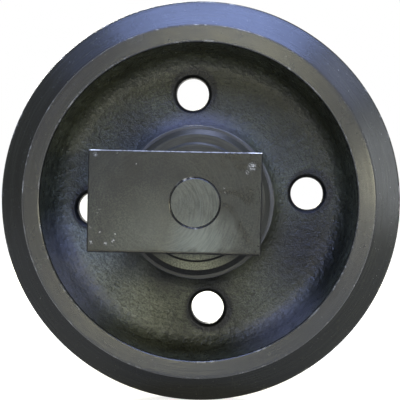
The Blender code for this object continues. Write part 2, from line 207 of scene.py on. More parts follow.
def rounded(corners, chord=0.0012):
    """Closed outline through corners (radius, place, fillet), with each fillet drawn as an arc."""
    points = []
    for index, (radius, place, fillet) in enumerate(corners):
        corner = Vector((radius, place))
        to_last = Vector(corners[index - 1][:2]) - corner
        to_next = Vector(corners[(index + 1) % len(corners)][:2]) - corner
        if not fillet:
            points.append(corner)
            continue
        half = to_last.angle(to_next) / 2
        reach = min(fillet / tan(half), 0.48 * to_last.length, 0.48 * to_next.length)
        middle = to_last.normalized() + to_next.normalized()
        centre = corner + middle.normalized() * reach / cos(half)
        start = corner + to_last.normalized() * reach - centre
        sweep = start.angle_signed(corner + to_next.normalized() * reach - centre)
        steps = max(3, ceil(abs(sweep) * start.length / chord))
        for step in range(steps + 1):
            points.append(centre + Matrix.Rotation(-sweep * step / steps, 2) @ start)
    return points


def divided(outline, longest):
    """The same closed outline with no stretch longer than that."""
    points = []
    for first, second in zip(outline, outline[1:] + outline[:1]):
        first, second = Vector(first), Vector(second)
        steps = max(1, ceil((second - first).length / longest))
        points += [first.lerp(second, step / steps) for step in range(steps)]
    return points


def mirrored(half):
    """A half section and its mirror image across the middle plane, as one closed run of corners."""
    return half + [(radius, -place, fillet) for radius, place, fillet in reversed(half)]


def turned(name, outline, sides, side=1):
    """Turn a closed outline of (radius, place) points about the Y axis."""
    shape = bmesh.new()
    verts = [shape.verts.new((radius, side * place, 0.0)) for radius, place in outline]
    for first, second in zip(verts, verts[1:] + verts[:1]):
        if max(first.co.x, second.co.x) > 0.0:
            shape.edges.new((first, second))
    bmesh.ops.spin(shape, geom=shape.verts[:] + shape.edges[:], cent=(0, 0, 0), axis=(0, 1, 0),
                   angle=2 * pi, steps=sides, use_merge=True)
    bmesh.ops.remove_doubles(shape, verts=shape.verts[:], dist=1e-6)
    bmesh.ops.recalc_face_normals(shape, faces=shape.faces[:])
    return placed(name, shape)


def placed(name, shape):
    """Turn a finished bmesh into an object of the scene."""
    mesh = bpy.data.meshes.new(name)
    shape.to_mesh(mesh)
    shape.free()
    piece = bpy.data.objects.new(name, mesh)
    bpy.context.scene.collection.objects.link(piece)
    return piece


def rod(name, radius, start, end, edge=0.0, sides=64, side=1):
    """A turned rod between two places on the axle, with rounded edges."""
    corners = [(0.0, start, 0.0), (radius, start, edge), (radius, end, edge), (0.0, end, 0.0)]
    return turned(name, rounded(corners), sides, side)


def combined(piece, tool, operation):
    """Join a tool shape to a piece, or cut the piece with it, and remove the tool."""
    change = piece.modifiers.new(tool.name, "BOOLEAN")
    change.operation = operation
    change.solver = "MANIFOLD"
    change.object = tool
    kept = bpy.data.meshes.new_from_object(piece.evaluated_get(bpy.context.evaluated_depsgraph_get()))
    piece.modifiers.clear()
    piece.data = kept
    bpy.data.objects.remove(tool)


def drilled(piece, radius, depth, mouth, turn=(0.0, 0.0, 0.0), sides=48):
    """Drill a round hole whose mouth is a point; turn rotates the drill off the Y axis."""
    tool = rod("drill", radius, -depth, depth, 0.0, sides)
    tool.location = mouth
    tool.rotation_euler = turn
    combined(piece, tool, "DIFFERENCE")


def finished(piece, body, nodes, finishes, zone=None):
    """Give a piece its finishes, smooth shading and its body, and hide the imported solids that it stands for.
    """
    piece.data.materials.clear()
    for finish in finishes:
        piece.data.materials.append(finish)
    if zone:
        for face in piece.data.polygons:
            face.material_index = zone(face.center, face.normal)
    piece.data.shade_smooth()
    piece.data.set_sharp_from_angle(angle=radians(30.0))
    weighted = piece.modifiers.new("even shading", "WEIGHTED_NORMAL")
    weighted.keep_sharp = True
    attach(piece, body)
    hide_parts(*nodes)


# Materials

# Near-black used for real grime and for painted shade in hollows, gaps, corners and under edges
GRIME_AND_SHADE = (0.0015, 0.0015, 0.0012)
AXLE = (0.0, 0.0, 0.0)
HUB_FOOT = (0.087, 0.102)  # radii between which the hub's foot gives way to the web
RIM_FOOT = (0.128, 0.146)  # radii between which the web gives way to the rim's foot

# Spots on a surface: their middle, the radius of the full effect, the radius where it ends, its strength
# Painted shade on the web: dark patches round the hub and to the lower right
SHADE_SPOTS = (
    ((-0.036, -0.030, -0.084), 0.010, 0.034, 1.0),
    ((0.016, -0.030, -0.090), 0.010, 0.030, 1.0),
    ((-0.075, -0.030, -0.062), 0.004, 0.024, 1.0),
    ((-0.070, -0.030, 0.075), 0.006, 0.036, 1.0),
    ((0.085, -0.045, -0.040), 0.004, 0.026, 1.0),
    ((0.118, -0.020, -0.050), 0.018, 0.066, 1.0),
    ((0.100, -0.020, -0.082), 0.004, 0.040, 0.5),
)
# Pale powder, also painted light, low on the web
POWDER_AND_LIGHT_SPOTS = (
    ((-0.120, -0.020, -0.066), 0.024, 0.066, 1.0),
    ((-0.066, -0.020, -0.112), 0.015, 0.066, 1.0),
    ((0.012, -0.020, -0.150), 0.005, 0.050, 0.3),
    ((0.074, -0.030, -0.110), 0.010, 0.070, 0.4),
)
# A painted bluish sheen at the foot of rim and hub
SHEEN_SPOTS = (
    ((-0.138, -0.030, -0.080), 0.030, 0.075, 1.0),
    ((0.092, -0.030, -0.130), 0.020, 0.066, 1.0),
    ((-0.012, -0.040, 0.088), 0.030, 0.072, 1.0),
)
# Lighter places on the block's face: rubbed paint and painted highlight
RUBBED_AND_LIT_SPOTS = (
    ((0.003, FRONT_FACE, -0.040), 0.004, 0.042, 1.0),
    ((0.024, FRONT_FACE, -0.030), 0.004, 0.028, 0.35),
    ((-0.045, FRONT_FACE, -0.030), 0.004, 0.050, 0.30),
)
CALM_SPOT = ((-0.040, FRONT_FACE, -0.010), 0.020, 0.060)
SHAFT_END = ((0.0, FRONT_FACE, 0.0), 0.0235, 0.0262)
# Painted glints on the edge round the shaft's end
GLINT_SPOTS = (
    ((-0.010, FRONT_FACE, 0.0235), 0.003, 0.012, 1.0),
    ((-0.002, FRONT_FACE, -0.0255), 0.002, 0.009, 1.0),
)
# Chips in the paint of the block's outer face: across, level and size
CHIPS = (
    (0.0568, 0.0375, 0.0046), (0.0520, 0.0316, 0.0022), (0.0290, 0.0155, 0.0012), (0.0302, 0.0110, 0.0010),
    (-0.0596, 0.0380, 0.0009), (-0.0952, -0.0085, 0.0013), (-0.0978, -0.0115, 0.0010),
    (-0.0950, -0.0316, 0.0014), (-0.1046, -0.0270, 0.0016), (-0.1036, -0.0418, 0.0022),
    (-0.0890, -0.0428, 0.0020), (-0.0815, -0.0398, 0.0020), (-0.0796, -0.0330, 0.0011),
    (-0.0820, -0.0447, 0.0012), (-0.0790, 0.0490, 0.0012), (-0.1010, 0.0470, 0.0024),
)
GRINDING_CENTRE = (-0.036, 0.0, -0.0056)
BLOCK_MIDDLE = -0.0205  # middle of the block, across


def connected(node, inputs):
    """Set or link a node's inputs."""
    for name, value in inputs.items():
        if isinstance(value, bpy.types.NodeSocket):
            node.id_data.links.new(value, node.inputs[name])
        else:
            node.inputs[name].default_value = value
    return node


def shader_node(kind, settings, inputs):
    """Add a node beside those that it is linked to, set its options, and set or link its inputs."""
    tree = next(value for value in inputs.values() if isinstance(value, bpy.types.NodeSocket)).id_data
    made = tree.nodes.new(kind)
    for name, value in settings.items():
        setattr(made, name, value)
    return connected(made, inputs)


def new_material(name):
    """A material with an empty Principled shader; returns it with its shader and the place on the object."""
    made = bpy.data.materials.new(name)
    made.use_nodes = True
    nodes = made.node_tree.nodes
    return made, nodes["Principled BSDF"], nodes.new("ShaderNodeTexCoord").outputs["Object"]


def fine_noise(place, scale, detail=3.0, roughness=0.6, distortion=0.0):
    """Fractal noise at a scale in waves per metre."""
    return shader_node("ShaderNodeTexNoise", {}, {
        "Vector": place, "Scale": scale, "Detail": detail, "Roughness": roughness,
        "Distortion": distortion}).outputs["Fac"]


def remapped(value, low, high, to_low=0.0, to_high=1.0):
    """Stretch a value's range, clamped at both ends."""
    return shader_node("ShaderNodeMapRange", {}, {
        "Value": value, "From Min": low, "From Max": high, "To Min": to_low,
        "To Max": to_high}).outputs["Result"]


def math(operation, first, second=0.0):
    """One arithmetic step."""
    return shader_node("ShaderNodeMath", {"operation": operation}, {0: first, 1: second}).outputs[0]


def times(first, second):
    """Two values multiplied."""
    return math("MULTIPLY", first, second)


def larger(first, second):
    """The larger of two values."""
    return math("MAXIMUM", first, second)


def vector_step(operation, first, second, output="Vector"):
    """One arithmetic step on places."""
    inputs = {0: first} if second is None else {0: first, 1: second}
    return shader_node("ShaderNodeVectorMath", {"operation": operation}, inputs).outputs[output]


def split(place):
    """A place's parts, by the letter of their axis."""
    return shader_node("ShaderNodeSeparateXYZ", {}, {0: place}).outputs


def blended(factor, first, second):
    """Mix two colours by a factor."""
    mixer = shader_node("ShaderNodeMix", {"data_type": "RGBA"}, {"Factor": factor})
    for index, value in ((6, first), (7, second)):
        connected(mixer, {index: value if isinstance(value, bpy.types.NodeSocket) else (*value, 1.0)})
    return mixer.outputs[2]


def shaded(tone, factor):
    """A colour made darker or lighter by a factor."""
    return [factor * part for part in tone]


def bumped(height, depth, strength=1.0, under=None):
    """Turn a height into a surface normal, over an earlier one if given."""
    inputs = {"Height": height, "Distance": depth, "Strength": strength}
    if under:
        inputs["Normal"] = under
    return shader_node("ShaderNodeBump", {}, inputs).outputs["Normal"]


def turning_marks(place, spacing):
    """Fine rings round the axle, as a lathe tool leaves them."""
    return shader_node("ShaderNodeTexWave", {"wave_type": "RINGS", "rings_direction": "Y"}, {
        "Vector": place, "Scale": 1.0 / spacing / 20.0, "Distortion": 1.5, "Detail": 2.0,
        "Detail Scale": 1.5}).outputs["Fac"]


def from_axle(place):
    """Distance from the wheel's axle."""
    flat = vector_step("MULTIPLY", place, (1.0, 0.0, 1.0))
    return vector_step("LENGTH", flat, None, "Value")


def on_ring(away, ring, inner, outer):
    """1 within a distance of a ring round the axle and 0 beyond a larger one."""
    return remapped(math("ABSOLUTE", math("SUBTRACT", away, ring)), inner, outer, 1.0, 0.0)


def arc_marks(place, centre, across, along):
    """Marks drawn along arcs round an axis parallel to Y: waves per metre across them, per radian along."""
    offset = vector_step("SUBTRACT", place, centre)
    parts = split(offset)
    turn = math("ARCTAN2", parts["Z"], parts["X"])
    spread = shader_node("ShaderNodeCombineXYZ", {}, {
        "X": times(from_axle(offset), across), "Y": times(turn, along)})
    return fine_noise(spread.outputs["Vector"], 1.0)


def near(place, spot, inner, outer):
    """1 within a radius of a spot and 0 beyond a larger one."""
    return remapped(vector_step("DISTANCE", place, spot, "Value"), inner, outer, 1.0, 0.0)


def spotted(place, spots):
    """The strongest of several spots."""
    strongest = 0.0
    for spot, inner, outer, strength in spots:
        strongest = larger(strongest, times(near(place, spot, inner, outer), strength))
    return strongest


def cast_paint(finish, hole_places):
    """Black paint over a rough sand casting, dusty in its hollows, with grains and pinholes, painted shade
    round hub and holes, pale powder that is partly painted light, and a painted bluish sheen.
    """
    made, shader, place = new_material("cast_paint")
    grains = fine_noise(place, 520.0, 4.0, 0.66)
    ripples = arc_marks(place, AXLE, 430.0, 16.0)
    lumps = fine_noise(place, 135.0, 4.0)
    patches = fine_noise(place, 15.0)
    pinholes = shader_node("ShaderNodeTexVoronoi", {}, {"Vector": place, "Scale": 150.0}).outputs["Distance"]
    away = from_axle(place)
    smooth = remapped(away, *RIM_FOOT)
    mixed = math("ADD", times(grains, 0.55), times(ripples, 0.45))

    # Dust on the raised grains, and pale powder in the lower left, which also paints that side lighter as
    # painted light
    dust = times(remapped(patches, 0.32, 0.64, 0.25), remapped(mixed, 0.43, 0.59, 0.08))
    paint = blended(dust, finish.cast_paint, finish.dusty_paint)
    powder_and_light = times(spotted(place, POWDER_AND_LIGHT_SPOTS), remapped(away, 0.140, 0.158, 1.0, 0.25))
    settled_and_lit = times(powder_and_light, remapped(mixed, 0.40, 0.62, 0.22))
    paint = blended(settled_and_lit, paint, finish.powder_and_light_paint)

    # A painted bluish sheen at the foot of rim and hub, in three spots
    foot = larger(math("POWER", smooth, 3.0), remapped(away, *HUB_FOOT, 1.0, 0.0))
    painted_sheen = times(spotted(place, SHEEN_SPOTS), foot)
    paint = blended(times(painted_sheen, remapped(mixed, 0.40, 0.58, 0.45)), paint, finish.painted_sheen)

    # Painted shade in patches round the hub and to the lower right, and round each hole, a little off its
    # middle
    lip_shade_rings = tuple(((1.01 * across + 0.0020, -0.0120, 1.02 * level + 0.0015), 0.0238, 0.0268, 1.0)
                 for across, level in hole_places)
    paint = blended(spotted(place, SHADE_SPOTS + lip_shade_rings), paint, GRIME_AND_SHADE)
    # Pinholes painted darker, as the shade inside them
    pinhole_shade = remapped(pinholes, 0.05, 0.13, 1.0, 0.0)

    roughness = remapped(lumps, 0.3, 0.7, finish.cast_roughness - 0.08, finish.cast_roughness + 0.12)
    coarse = bumped(lumps, 0.0020)
    fine = bumped(times(mixed, remapped(smooth, 0.0, 1.0, 1.0, 0.5)), 0.0024, 1.0, coarse)
    connected(shader, {
        "Base Color": blended(pinhole_shade, paint, shaded(finish.cast_paint, 0.3)),
        "Roughness": math("SUBTRACT", roughness, times(smooth, 0.10)),
        "Normal": bumped(pinholes, 0.0006, 0.5, fine),
        "Specular IOR Level": 0.30,
    })
    return made


def shade_black(finish, name, tone, gloss):
    """Very dark, dull black laid on as painted shade in holes, under edges and low on slopes, with a rough
    skin.
    """
    made, shader, place = new_material(name)
    skin = fine_noise(place, 380.0, 4.0)
    rough = finish.cast_roughness
    connected(shader, {
        "Base Color": blended(remapped(skin, 0.45, 0.62), tone, shaded(tone, 3.0)),
        "Roughness": remapped(skin, 0.3, 0.7, rough - 0.06, rough + 0.08),
        "Normal": bumped(skin, 0.0006, 0.6),
        "Specular IOR Level": gloss,
    })
    return made


def turned_paint(name, finish, tone, gloss, roughness, across=0.0, edges=(), corner=None, powder_and_light=()):
    """Thin black paint on turned faces, with tool rings, scuffs and small chips down to bare metal.

    Across is how far the tool rings stretch a highlight across themselves, from 0 to 1. Edges are the
    radii at which the paint is worn through, corner is the radius of a corner darkened as painted shade,
    and the powder spots, given as place, inner and outer radius, hold pale powder that also paints those
    places lighter as painted light.
    """
    made, shader, place = new_material(name)
    rings = turning_marks(place, 0.0011)
    streaks = arc_marks(place, AXLE, 520.0, 2.2)
    patches = fine_noise(place, 22.0, 4.0)
    specks = fine_noise(place, 600.0)
    scuffs = fine_noise(place, 90.0, 6.0, 0.72)
    away = from_axle(place)
    paint = blended(remapped(patches, 0.35, 0.7), tone, shaded(tone, 0.7))
    paint = blended(remapped(streaks, 0.42, 0.62), paint, shaded(tone, 1.7))
    paint = blended(remapped(scuffs, 0.58, 0.80, 0.0, 0.45), paint, finish.dusty_paint)
    bare = remapped(specks, 0.70, 0.74, 0.0, 0.35)
    for edge in edges:
        line = times(on_ring(away, edge, 0.0003, 0.0011), remapped(scuffs, 0.54, 0.74, 0.01, 0.40))
        bare = larger(bare, line)
    for spot, inner, outer in powder_and_light:
        settled_and_lit = times(near(place, spot, inner, outer), remapped(specks, 0.40, 0.62, 0.40))
        paint = blended(settled_and_lit, paint, finish.powder_and_light_paint)
    # Painted shade in the corner at the flange's foot
    if corner:
        paint = blended(times(on_ring(away, corner, 0.0006, 0.0030), 0.8), paint, GRIME_AND_SHADE)
    rough = bumped(specks, 0.0002, 0.3)
    rough = bumped(scuffs, 0.0003, 0.15, rough)
    rough = bumped(streaks, 0.0005, 0.28, rough)
    connected(shader, {
        "Base Color": blended(bare, paint, finish.bare_metal_and_glint),
        "Roughness": remapped(patches, 0.3, 0.7, roughness - 0.03, roughness + 0.04),
        "Normal": bumped(rings, 0.00006, 0.35, rough),
        "Specular IOR Level": gloss,
    })
    if across:
        round_axle = made.node_tree.nodes.new("ShaderNodeTangent")
        round_axle.direction_type, round_axle.axis = "RADIAL", "Y"
        connected(shader, {
            "Tangent": round_axle.outputs["Tangent"], "Anisotropic": across, "Anisotropic Rotation": 0.25})
    return made


def ground_paint(finish):
    """Thin black paint on ground faces: grinder's arcs, chips, rubbed places and a bare top edge that are also
    painted highlight, painted shade and glints.
    """
    made, shader, place = new_material("ground_paint")
    patches = fine_noise(place, 18.0, 3.0, 0.5)
    specks = fine_noise(place, 640.0)
    strokes = arc_marks(place, GRINDING_CENTRE, 540.0, 3.0)
    grains = fine_noise(place, 260.0)
    parts = split(place)
    across, level = parts["X"], parts["Z"]

    # Uneven black with cloudy specks of dust; more of them lower down paint the face lighter below and darker
    # at the top, as shade
    paint = blended(remapped(patches, 0.35, 0.65), finish.ground_paint, shaded(finish.ground_paint, 0.6))
    cloudy_and_shaded = times(remapped(fine_noise(place, 48.0), 0.36, 0.62, 0.55, 1.35),
                   remapped(level, -0.020, 0.050, 0.38, 0.14))
    paint = blended(times(remapped(specks, 0.44, 0.59, 0.0, 1.05), cloudy_and_shaded), paint, finish.dusty_paint)

    # Places painted lighter, partly rubbed thin and partly painted highlight, and the grinder's arcs over them
    rubbed_and_lit = spotted(place, RUBBED_AND_LIT_SPOTS)
    shaft_end = near(place, *SHAFT_END)
    worked = larger(remapped(rubbed_and_lit, 0.0, 1.0, 0.08), times(shaft_end, 0.42))
    worked = math("SUBTRACT", worked, times(near(place, *CALM_SPOT), 0.22))
    scratched = times(remapped(strokes, 0.40, 0.60), larger(worked, 0.0))
    lighter = larger(times(rubbed_and_lit, 0.70), times(shaft_end, 0.22))
    paint = blended(lighter, paint, finish.rubbed_and_lit_paint)
    paint = blended(times(scratched, 0.75), paint, finish.rubbed_and_lit_paint)

    # Smudges on the right
    smudges = times(remapped(across, 0.012, 0.034, 0.0, 0.60),
                    remapped(fine_noise(place, 34.0, 3.0, 0.55, 1.2), 0.48, 0.62))
    paint = blended(smudges, paint, GRIME_AND_SHADE)

    # Painted shade in the gap round the shaft's end, with two painted glints on its edge
    gap = on_ring(from_axle(place), SHAFT_HIGH.x + 0.0004, 0.0007, 0.0014)
    glint = times(times(gap, spotted(place, GLINT_SPOTS)), remapped(grains, 0.46, 0.60, 0.0, 0.5))
    paint = blended(glint, blended(gap, paint, GRIME_AND_SHADE), finish.bare_metal_and_glint)

    # Chips, and the bare edge along the top, which is also a painted highlight
    chipped = spotted(place, [((chip, FRONT_FACE, height), 0.2 * reach, 1.1 * reach, 1.0)
                              for chip, height, reach in CHIPS])
    chipped = times(chipped, remapped(fine_noise(place, 700.0, 2.0, 0.5), 0.46, 0.62, 0.0, 0.6))
    edge = remapped(level, BLOCK_TOP - 0.0010, BLOCK_TOP - 0.0006)
    to_corner = math("ABSOLUTE", math("SUBTRACT", across, BLOCK_MIDDLE))
    corner = remapped(to_corner, 0.070, 0.082, 0.25)
    outside = remapped(math("ABSOLUTE", parts["Y"]), BRACKET_HIGH.y - 0.0050, BRACKET_HIGH.y - 0.0020)
    bare_edge_and_highlight = times(times(times(edge, outside), corner), remapped(grains, 0.38, 0.52, 0.25))

    # Painted shade along the lower and left edge, and a smear above the lower one
    shade = larger(remapped(level, 0.0015 - BLOCK_TOP, 0.0031 - BLOCK_TOP, 1.0, 0.0),
                   remapped(across, BRACKET_LOW.x + 0.0008, BRACKET_LOW.x + 0.0016, 0.8, 0.0))
    smear = times(remapped(level, 0.0025 - BLOCK_TOP, 0.0075 - BLOCK_TOP, 1.0, 0.0),
                  remapped(fine_noise(place, 60.0), 0.46, 0.60, 0.0, 0.6))
    paint = blended(larger(shade, smear), paint, GRIME_AND_SHADE)

    rough = finish.ground_roughness
    connected(shader, {
        "Base Color": blended(larger(chipped, bare_edge_and_highlight), paint, finish.bare_metal_and_glint),
        "Roughness": remapped(patches, 0.2, 0.8, rough - 0.05, rough + 0.06),
        "Normal": bumped(scratched, 0.0003, 0.5, bumped(specks, 0.0002, 0.4)),
        "Specular IOR Level": 0.24,
    })
    return made


def plain_metal(name, tone, roughness, spacing):
    """Turned metal with fine rings, a little uneven in tone."""
    made, shader, place = new_material(name)
    patches = fine_noise(place, 60.0, 4.0)
    connected(shader, {
        "Base Color": blended(remapped(patches, 0.3, 0.7), tone, shaded(tone, 0.8)),
        "Roughness": remapped(patches, 0.3, 0.7, roughness - 0.06, roughness + 0.08),
        "Normal": bumped(turning_marks(place, spacing), 0.00005, 0.3),
        "Metallic": 1.0,
    })
    return made


def rubber():
    """Dull black rubber with a faint moulded grain."""
    made, shader, place = new_material("ring_rubber")
    grain = fine_noise(place, 500.0)
    connected(shader, {
        "Base Color": blended(grain, (0.010, 0.010, 0.010), (0.026, 0.025, 0.024)),
        "Roughness": 0.55,
        "Normal": bumped(grain, 0.0001, 0.3),
    })
    return made


def white_when_seen(tree):
    """1 for what the camera sees, directly or in a mirror or glass, and 0 for light on the object."""
    rays = tree.nodes.new("ShaderNodeLightPath").outputs
    return larger(rays["Is Camera Ray"], larger(rays["Is Glossy Ray"], rays["Is Transmission Ray"]))


# Operators

class IDLER_OT_cast_wheel(Operator):
    """Model the cast wheel: turned rim and flange, rough dished web with round holes, and hub"""
    bl_idname = "idler.cast_wheel"
    bl_label = "Cast wheel"

    bush_flange = 0.0060        # how much wider the bush's flange is than its sleeve
    bush_flange_depth = 0.0050  # thickness of that flange
    chamber_depth = 0.0045      # depth of the oil chamber below the bush's seat
    hub_edge = 0.0012           # rounding of the hub's end
    longest_face = 0.0045       # longest face along the wheel's section
    swell_fade = 0.006          # where the uneven casting skin fades out

    def execute(self, context):
        size = context.scene.idler_wheel
        finish = context.scene.idler_finishes
        hub_bore = LOAD_RING_HIGH.x + CLEARANCE
        flange_seat = BUSH_HIGH.x + CLEARANCE
        sleeve_seat = flange_seat - self.bush_flange
        seat_back = BUSH_HIGH.y - self.bush_flange_depth - CLEARANCE
        tread = size.flange_radius - size.flange_height
        rim_inner = tread - size.rim_thickness
        rim_face = size.crest_half + size.flange_taper + size.tread_width
        wall_run = (rim_face - size.web_half) * tan(size.dish_draft)
        half = [
            (size.flange_radius, size.crest_half, 0.0025),
            (tread, size.crest_half + size.flange_taper, 0.0050),
            (tread, rim_face, 0.0015),
            (rim_inner, rim_face, 0.0025),
            (rim_inner - wall_run, size.web_half, size.dish_fillet),
            (size.hub_radius + size.hub_taper, size.web_half, size.hub_fillet),
            (size.hub_radius, size.hub_face, self.hub_edge),
            (hub_bore, size.hub_face, 0.0006),
            (hub_bore, BUSH_HIGH.y, 0.0),
            (flange_seat, BUSH_HIGH.y, 0.0),
            (flange_seat, seat_back, 0.0),
            (sleeve_seat, seat_back, 0.0),
            (sleeve_seat, BUSH_LOW.y - CLEARANCE, 0.0),
            (sleeve_seat + self.chamber_depth, BUSH_LOW.y - self.chamber_depth, 0.0),
        ]
        wheel = turned("cast_wheel", divided(rounded(mirrored(half)), self.longest_face), size.sides)
        turns = [size.hole_turn + number * pi / 2 for number in range(4)]
        hole_places = [(size.hole_circle * cos(turn), size.hole_circle * sin(turn)) for turn in turns]
        for across, level in hole_places:
            tool = self.hole_tool(size)
            tool.location = (across, 0.0, level)
            combined(wheel, tool, "DIFFERENCE")

        def is_cast(point):
            """Whether a place is on the rough casting, between hub and rim."""
            return (size.hub_radius - 0.0004 < hypot(point.x, point.z) < rim_inner - 0.0003
                    and abs(point.y) < size.hub_face - self.hub_edge - 0.0002)

        def zone(centre, normal):
            """The number of the finish for a face, in the order of the list below."""
            # The holes' lips take the black used as painted shade
            if any(hypot(centre.x - across, centre.z - level) < size.hole_radius + 0.65 * size.hole_lip
                   for across, level in hole_places):
                return 3
            if is_cast(centre):
                return 0
            if abs(centre.y) < rim_face - 0.0010:
                return 1
            return 2 if hypot(centre.x, centre.z) > rim_inner - 0.0010 else 4

        directions = [vertex.normal.copy() for vertex in wheel.data.vertices]
        for vertex, direction in zip(wheel.data.vertices, directions):
            radius = hypot(vertex.co.x, vertex.co.z)
            inside = min((radius - size.hub_radius + 0.001) / self.swell_fade,
                         (rim_inner - 0.001 - radius) / self.swell_fade, 1.0)
            if inside > 0.0 and is_cast(vertex.co):
                swell = noise.noise(vertex.co * 28.0) + 0.45 * noise.noise(vertex.co * 95.0)
                vertex.co += direction * (size.cast_unevenness * swell * inside)
        wheel.data.update()
        finished(wheel, "wheel", ["idler_wheel"], [
            cast_paint(finish, hole_places),
            turned_paint("flange_paint", finish, finish.turned_paint, 0.21, finish.turned_roughness, 0.20,
                         edges=(size.flange_radius - 0.0008,), corner=tread + 0.0010),
            turned_paint("rim_paint", finish, finish.rim_paint, 0.45, finish.rim_roughness, 0.83,
                         edges=(tread - 0.0006, rim_inner + 0.0012)),
            # The holes' lips get the black of painted shade
            shade_black(finish, "hole_paint", (0.002, 0.002, 0.0018), 0.06),
            turned_paint("hub_paint", finish, finish.hub_paint, 0.16, finish.cast_roughness),
        ], zone)
        return {"FINISHED"}

    @staticmethod
    def hole_tool(size):
        """The shape of a hole in the web with its two rounded lips."""
        lip = []
        steps = 8
        for step in range(steps):
            turn = radians(84.0) * step / (steps - 1)
            lip.append((size.hole_radius + size.hole_lip * (1 - cos(turn)),
                        size.web_half - size.hole_lip * (1 - sin(turn))))
        top = size.web_half + size.hole_lip
        half = lip + [(size.hole_radius + size.hole_lip, top), (0.0, top)]
        return turned("hole_tool", half + [(radius, -place) for radius, place in reversed(half)], 64)


class IDLER_OT_brackets(Operator):
    """Model the two brackets: ground block, seal flange, nose, bore and tapped holes"""
    bl_idname = "idler.brackets"
    bl_label = "Brackets"

    def execute(self, context):
        size = context.scene.idler_bracket
        finish = context.scene.idler_finishes
        ground = ground_paint(finish)
        dusty = turned_paint("seal_flange_paint", finish, finish.seal_paint, 0.20, finish.cast_roughness,
                             powder_and_light=[((0.0, side * BRACKET_HIGH.y * 0.7, -0.068), 0.010, 0.046)
                                     for side in SIDES.values()])
        sloping = turned_paint("seal_slope_paint", finish, finish.turned_paint, 0.22,
                               finish.cast_roughness - 0.04)
        dark = shade_black(finish, "dark_slope_paint", (0.003, 0.003, 0.0025), 0.07)

        def zone(centre, normal):
            """The number of the finish for a face: 0 ground, 1 dusty, 2 sloping, 3 dark, which is painted
            shade.

            The block's outer edges are dark as painted shade, apart from the upper ones and those round the
            bore; so is the lower part of each slope.
            """
            radius = hypot(centre.x, centre.z)
            if (abs(centre.y) > size.block_face - 0.0011 and 0.2 < abs(normal.y) < 0.97
                    and normal.z < 0.3 and radius > 0.03):
                return 3
            if abs(centre.y) > size.block_back + 0.0052:
                return 0
            if (radius > size.disc_radius - size.disc_chamfer - 0.0005
                    or size.boss_radius - 0.0003 < radius < size.boss_radius + 0.0022):
                # Painted shade on the lower part of the slope
                return 3 if centre.z < -0.045 else 2
            return 1

        for name, side in SIDES.items():
            bracket = self.block(size, name, side)
            disc_face = size.disc_back + size.disc_thickness
            flange = turned("flange_tool", rounded([
                (0.0, size.disc_back, 0.0),
                (size.disc_radius, size.disc_back, 0.0004),
                (size.disc_radius, disc_face - size.disc_chamfer, 0.0008),
                (size.disc_radius - size.disc_chamfer, disc_face, 0.0008),
                (size.boss_radius + 0.0018, disc_face, 0.0006),
                (size.boss_radius, disc_face + size.boss_height, 0.0004),
                (0.0, disc_face + size.boss_height, 0.0),
            ]), 192, side)
            combined(bracket, flange, "UNION")
            combined(bracket, rod("seat_tool", size.seat_radius, size.disc_back - 0.001, size.seat_floor,
                                  sides=128, side=side), "DIFFERENCE")
            combined(bracket, rod("nose_tool", size.nose_radius, size.nose_end, size.seat_floor + 0.0013,
                                  0.0005, 96, side), "UNION")
            bore = SHAFT_HIGH.x + CLEARANCE
            mouth = turned("bore_tool", [
                (0.0, size.nose_end - 0.001),
                (bore, size.nose_end - 0.001),
                (bore, size.block_face - size.bore_chamfer / 2),
                (bore + 2 * size.bore_chamfer, size.block_face + size.bore_chamfer / 2),
                (0.0, size.block_face + size.bore_chamfer / 2),
            ], 128, side)
            combined(bracket, mouth, "DIFFERENCE")
            drilled(bracket, PIN_RADIUS + CLEARANCE, 0.2, (PIN_ACROSS, side * PIN_ALONG, 0.0), UPRIGHT)
            middle = side * (size.block_back + size.block_face) / 2
            for level in (-size.yoke_hole_spacing / 2, size.yoke_hole_spacing / 2):
                drilled(bracket, size.yoke_hole_radius, size.yoke_hole_depth,
                        (-size.long_end, middle, level), (0.0, 0.0, pi / 2))
            finished(bracket, "carrier", [f"bracket_{name}"],
                     [ground, dusty, sloping, dark], zone)
        return {"FINISHED"}

    @staticmethod
    def block(size, name, side):
        """The block with its chamfered edges."""
        shape = bmesh.new()
        bmesh.ops.create_cube(shape, size=1.0)
        low = Vector((-size.long_end, size.block_back, -size.block_top))
        high = Vector((size.short_end, size.block_face, size.block_top))
        extent = high - low
        bmesh.ops.transform(shape, matrix=Matrix.Translation((low + high) / 2)
                            @ Matrix.Diagonal((*extent, 1.0)), verts=shape.verts[:])
        for vert in shape.verts:
            vert.co.y *= side
        bmesh.ops.recalc_face_normals(shape, faces=shape.faces[:])
        bmesh.ops.bevel(shape, geom=shape.edges[:], offset=size.chamfer, segments=2, profile=0.35,
                        affect="EDGES")
        return placed(f"bracket_{name}_fine", shape)


